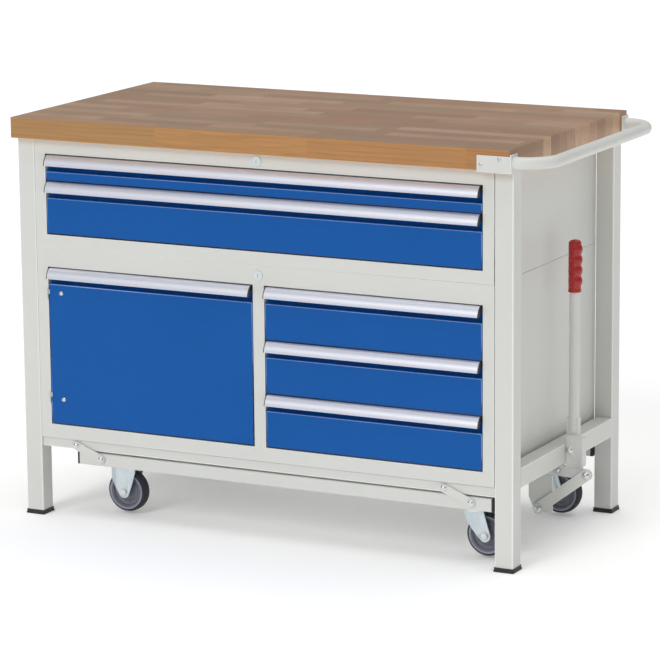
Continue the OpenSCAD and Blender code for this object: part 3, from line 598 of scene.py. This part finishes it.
def grip(node, body):
    """Extruded aluminium grip strip with a rolled lower lip, and its two black end caps."""
    lo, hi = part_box(node)
    face = frame_y
    out = face - lo.y
    height = hi.z - lo.z
    thick = 1.9 * MM
    cap_t = 2.4 * MM
    skin = 0.02 * MM
    outer = [(hi.y - NEAR, hi.z - skin), (face + 1.5 * MM, hi.z - skin)]
    for k in range(1, 17):
        away, drop = flat_arc(86 * k / 16)
        outer.append((face - (out - 0.1 * MM) * away, hi.z - height + height * drop - skin))
    lip = outer[-1]
    # the lip is rolled back inside
    roll_r = 1.25 * MM
    roll = [(lip[0] + roll_r - roll_r * math.cos(math.radians(a)),
             lo.z + 1.3 * MM - roll_r * math.sin(math.radians(a))) for a in range(10, 170, 30)]
    inner = []
    for k in range(15, 0, -1):
        away, drop = flat_arc(86 * k / 16)
        inner.append((face - (out - thick) * away, hi.z - height + (height - thick) * drop))
    inner += [(face + 1.0 * MM, hi.z - thick), (hi.y - NEAR, hi.z - thick)]
    bm = bmesh.new()
    extrude_x(bm, outer + roll + inner, lo.x + cap_t, hi.x - cap_t)
    make(node + "_strip", bm, body, "anodised_aluminium", ALU, replaces=(node,), sharp=30, bevel=0.18 * MM)
    bm = bmesh.new()
    cap = [(hi.y - 0.2 * MM, hi.z - 0.1 * MM), (face + 1.0 * MM, hi.z - 0.1 * MM)]
    for k in range(1, 13):
        away, drop = flat_arc(90 * k / 12)
        cap.append((face - (out - 0.3 * MM) * away, lo.z + 0.2 * MM + (height - 0.4 * MM) * drop))
    cap += [(face - out + 4.5 * MM, lo.z + 0.2 * MM), (face - 2.0 * MM, lo.z + 6.0 * MM),
            (face + 3.0 * MM, hi.z - 11.8 * MM), (hi.y - 0.2 * MM, hi.z - 11.8 * MM)]
    for x0, x1 in ((lo.x + 0.1 * MM, lo.x + cap_t), (hi.x - cap_t, hi.x - 0.1 * MM)):
        extrude_x(bm, cap, x0, x1)
    make(node + "_caps", bm, body, "black_plastic", BLACK, sharp=30, bevel=0.3 * MM)


for i in range(1, 6):
    grip(f"drawer_{i}_grip", f"drawer_{i}")
grip("door_grip", "door")

# the door's hinge screws, on its face
bm = bmesh.new()
for z in (533 * MM, 282 * MM):
    cross_screw(bm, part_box("door_panel")[0].x + 38.5 * MM, z, frame_y, -1, 5.4 * MM, 2.2 * MM)
make("door_screws", bm, "door", "zinc", BOLT, sharp=50)


# ---------------------------------------------------------------- lever and linkage
def broad(edge):
    """False on the short edges of holes and rounded ends."""
    return edge.calc_length() > 2.5 * MM


for node in ("link_front_left", "link_front_right", "link_rear_left", "link_rear_right", "drawbar"):
    refine(node, node, "grey_paint", GREY, 0.8 * MM, lambda edge: True)

# bolt heads on the yoke, which are part of its solid: x, z, and the y of the sheet under the head
yoke_bolts = ((pivot_x + 71.5 * MM, lever_z - 5.5 * MM, -16 * MM),
              (pivot_x + 31 * MM, lever_z + 49 * MM, -14 * MM))


def on_bolt(face):
    """True on the faces of the yoke's bolt heads."""
    middle = face.calc_center_median()
    return any(middle.y < y - NEAR and math.hypot(middle.x - x, middle.z - z) < 9.2 * MM
               for x, z, y in yoke_bolts)


refine("lever_yoke", "lever", "grey_paint", GREY, 0.6 * MM, broad, zones=((BOLT, on_bolt),))

# hand grip: dipped vinyl with four finger swells on the outer side
handle_lo, handle_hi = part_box("lever_handle")
grip_y = 0.5 * (handle_lo.y + handle_hi.y)
grip_x = handle_lo.x + 15.25 * MM
grip_r = 14.35 * MM
grip_bore = 12.02 * MM
finger = 24 * MM
nose = 9 * MM
levels = 72
steps = 48
height = handle_hi.z - handle_lo.z
bm = bmesh.new()
rows = []
for j in range(levels + 1):
    z = j / levels * height
    swell = 0.0
    if 0.5 * finger < z < 4.5 * finger:
        swell = (0.5 + 0.5 * math.cos(2 * math.pi * (z - finger) / finger)) ** 0.75
    close = 1.0
    tail = height - z
    if tail < nose:
        close = math.sqrt(max(0.0, 1 - (1 - tail / nose) ** 2)) * 0.72 + 0.28
    collar = 0.6 * MM if z < 5 * MM else 0.0
    ring = []
    for k in range(steps):
        turn = 2 * math.pi * k / steps
        lean = max(0.0, math.cos(turn)) ** 1.4
        r = (grip_r + collar + swell * (0.35 * MM + 3.0 * MM * lean)) * close
        ring.append(bm.verts.new((grip_x + r * math.cos(turn), grip_y + r * math.sin(turn), handle_lo.z + z)))
    rows.append(ring)
mouth = []
for k in range(steps):
    turn = 2 * math.pi * k / steps
    place = (grip_x + grip_bore * math.cos(turn), grip_y + grip_bore * math.sin(turn), handle_lo.z)
    mouth.append(bm.verts.new(place))
rows.insert(0, mouth)
for a, b in zip(rows, rows[1:]):
    for k in range(steps):
        bm.faces.new((a[k], a[(k + 1) % steps], b[(k + 1) % steps], b[k]))
bm.faces.new(rows[-1])
make("lever_hand_grip", bm, "lever", "red_plastic", RED, replaces=("lever_handle",), sharp=55)


# ---------------------------------------------------------------- castors
def mirrored(half):
    """A (radius, along) outline in mm, with its mirror image added, in metres."""
    return [(r * MM, a * MM) for r, a in half] + [(r * MM, -a * MM) for r, a in reversed(half)]


def wheel(node):
    """Solid tyre on a dished plastic hub with a raised ring and a thread guard."""
    lo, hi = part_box(node)
    centre = (lo + hi) / 2
    radius = (hi.z - lo.z) / 2 / MM
    rim = radius - 12
    # from the rim out over the side wall to the tread
    tyre = mirrored([(rim, -13), (rim + 1, -14.6), (rim + 3, -15.2), (radius - 7, -15), (radius - 5, -14.4),
                     (radius - 3, -13), (radius - 1.5, -10.8), (radius - 0.4, -7), (radius, -3)])
    # the side wall takes the paler rubber as a painted highlight ring, the tread the black
    kinds = [1 if (r + q) / 2 < (radius - 7) * MM else 0 for (r, _), (q, _) in zip(tyre, tyre[1:])]
    bm = bmesh.new()
    lathe(bm, tyre, centre, 1, 96, kinds)
    make(node + "_tyre", bm, node, "tyre_grey", TREAD, SIDEWALL_HIGHLIGHT, replaces=(node,), sharp=40)
    hub = mirrored([(6.1, -19.9), (11.5, -19.9), (12.5, -19.1), (13.2, -9), (15, -7.4), (24, -7), (25, -8.6),
                    (27, -8.6), (28, -7.2), (rim - 5, -7.6), (rim - 3.2, -11.6), (rim - 2.4, -12.6),
                    (rim - 0.6, -12.8), (rim, -12.2)])
    bm = bmesh.new()
    lathe(bm, hub + [hub[0]], centre, 1, 96)
    make(node + "_hub", bm, node, "tyre_grey", HUB, sharp=32)


for node in ("wheel_front_left", "wheel_rear_left", "wheel_front_right", "wheel_rear_right"):
    wheel(node)
castor_y = 0.5 * sum(corner.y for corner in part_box("wheel_rear_left"))


def axle_head(face):
    """True on the axle's ends, which stand out past the fork's cheeks."""
    return abs(abs(face.calc_center_median().y) - castor_y) > 25.6 * MM


for node, body in (("fixed_castor_forks", "carriage"), ("swivel_fork_front", "swivel_front"),
                   ("swivel_fork_rear", "swivel_rear")):
    refine(node, body, "zinc", ZINC, 0.6 * MM, broad, zones=((BOLT, axle_head),))


# ---------------------------------------------------------------- floor and light
bm = bmesh.new()
bmesh.ops.create_grid(bm, x_segments=1, y_segments=1, size=30.0)
mesh = bpy.data.meshes.new("floor")
bm.to_mesh(mesh)
bm.free()
floor = bpy.data.objects.new("floor", mesh)
scene.collection.objects.link(floor)
f = Nodes("floor_paper")
mesh.materials.append(f.finish(f.mix(f.ramp(f.noise(f.place, 0.7, 3.0), (0.3, 0.0), (0.7, 1.0)),
                                     (0.96, 0.96, 0.96), (0.98, 0.98, 0.98)), 0.75, Emission_Strength=0.17))

# studio: a pale room that is brighter low down, a soft key from the front and a wide light overhead
world = bpy.data.worlds.new("studio")
scene.world = world
world.use_nodes = True
tree = world.node_tree
sky = tree.nodes["Background"]
height = tree.nodes.new("ShaderNodeSeparateXYZ")
tree.links.new(tree.nodes.new("ShaderNodeTexCoord").outputs["Generated"], height.inputs[0])
shade = tree.nodes.new("ShaderNodeValToRGB")
shade.color_ramp.elements[0].position, shade.color_ramp.elements[0].color = 0.0, (0.41, 0.41, 0.41, 1)
shade.color_ramp.elements[1].position, shade.color_ramp.elements[1].color = 0.8, (0.26, 0.26, 0.26, 1)
tree.links.new(height.outputs[2], shade.inputs[0])
tree.links.new(shade.outputs[0], sky.inputs[0])


def soft_sun(name, towards, spread, strength):
    """Sun that stands in the direction towards and is spread degrees wide."""
    light = bpy.data.lights.new(name, "SUN")
    light.angle = math.radians(spread)
    light.energy = strength
    obj = bpy.data.objects.new(name, light)
    scene.collection.objects.link(obj)
    obj.rotation_euler = (-Vector(towards)).to_track_quat("-Z", "Y").to_euler()


soft_sun("key", (-0.7, -5.0, 3.2), 25.0, 1.00)
soft_sun("top", (0.2, 0.3, 4.0), 70.0, 1.60)
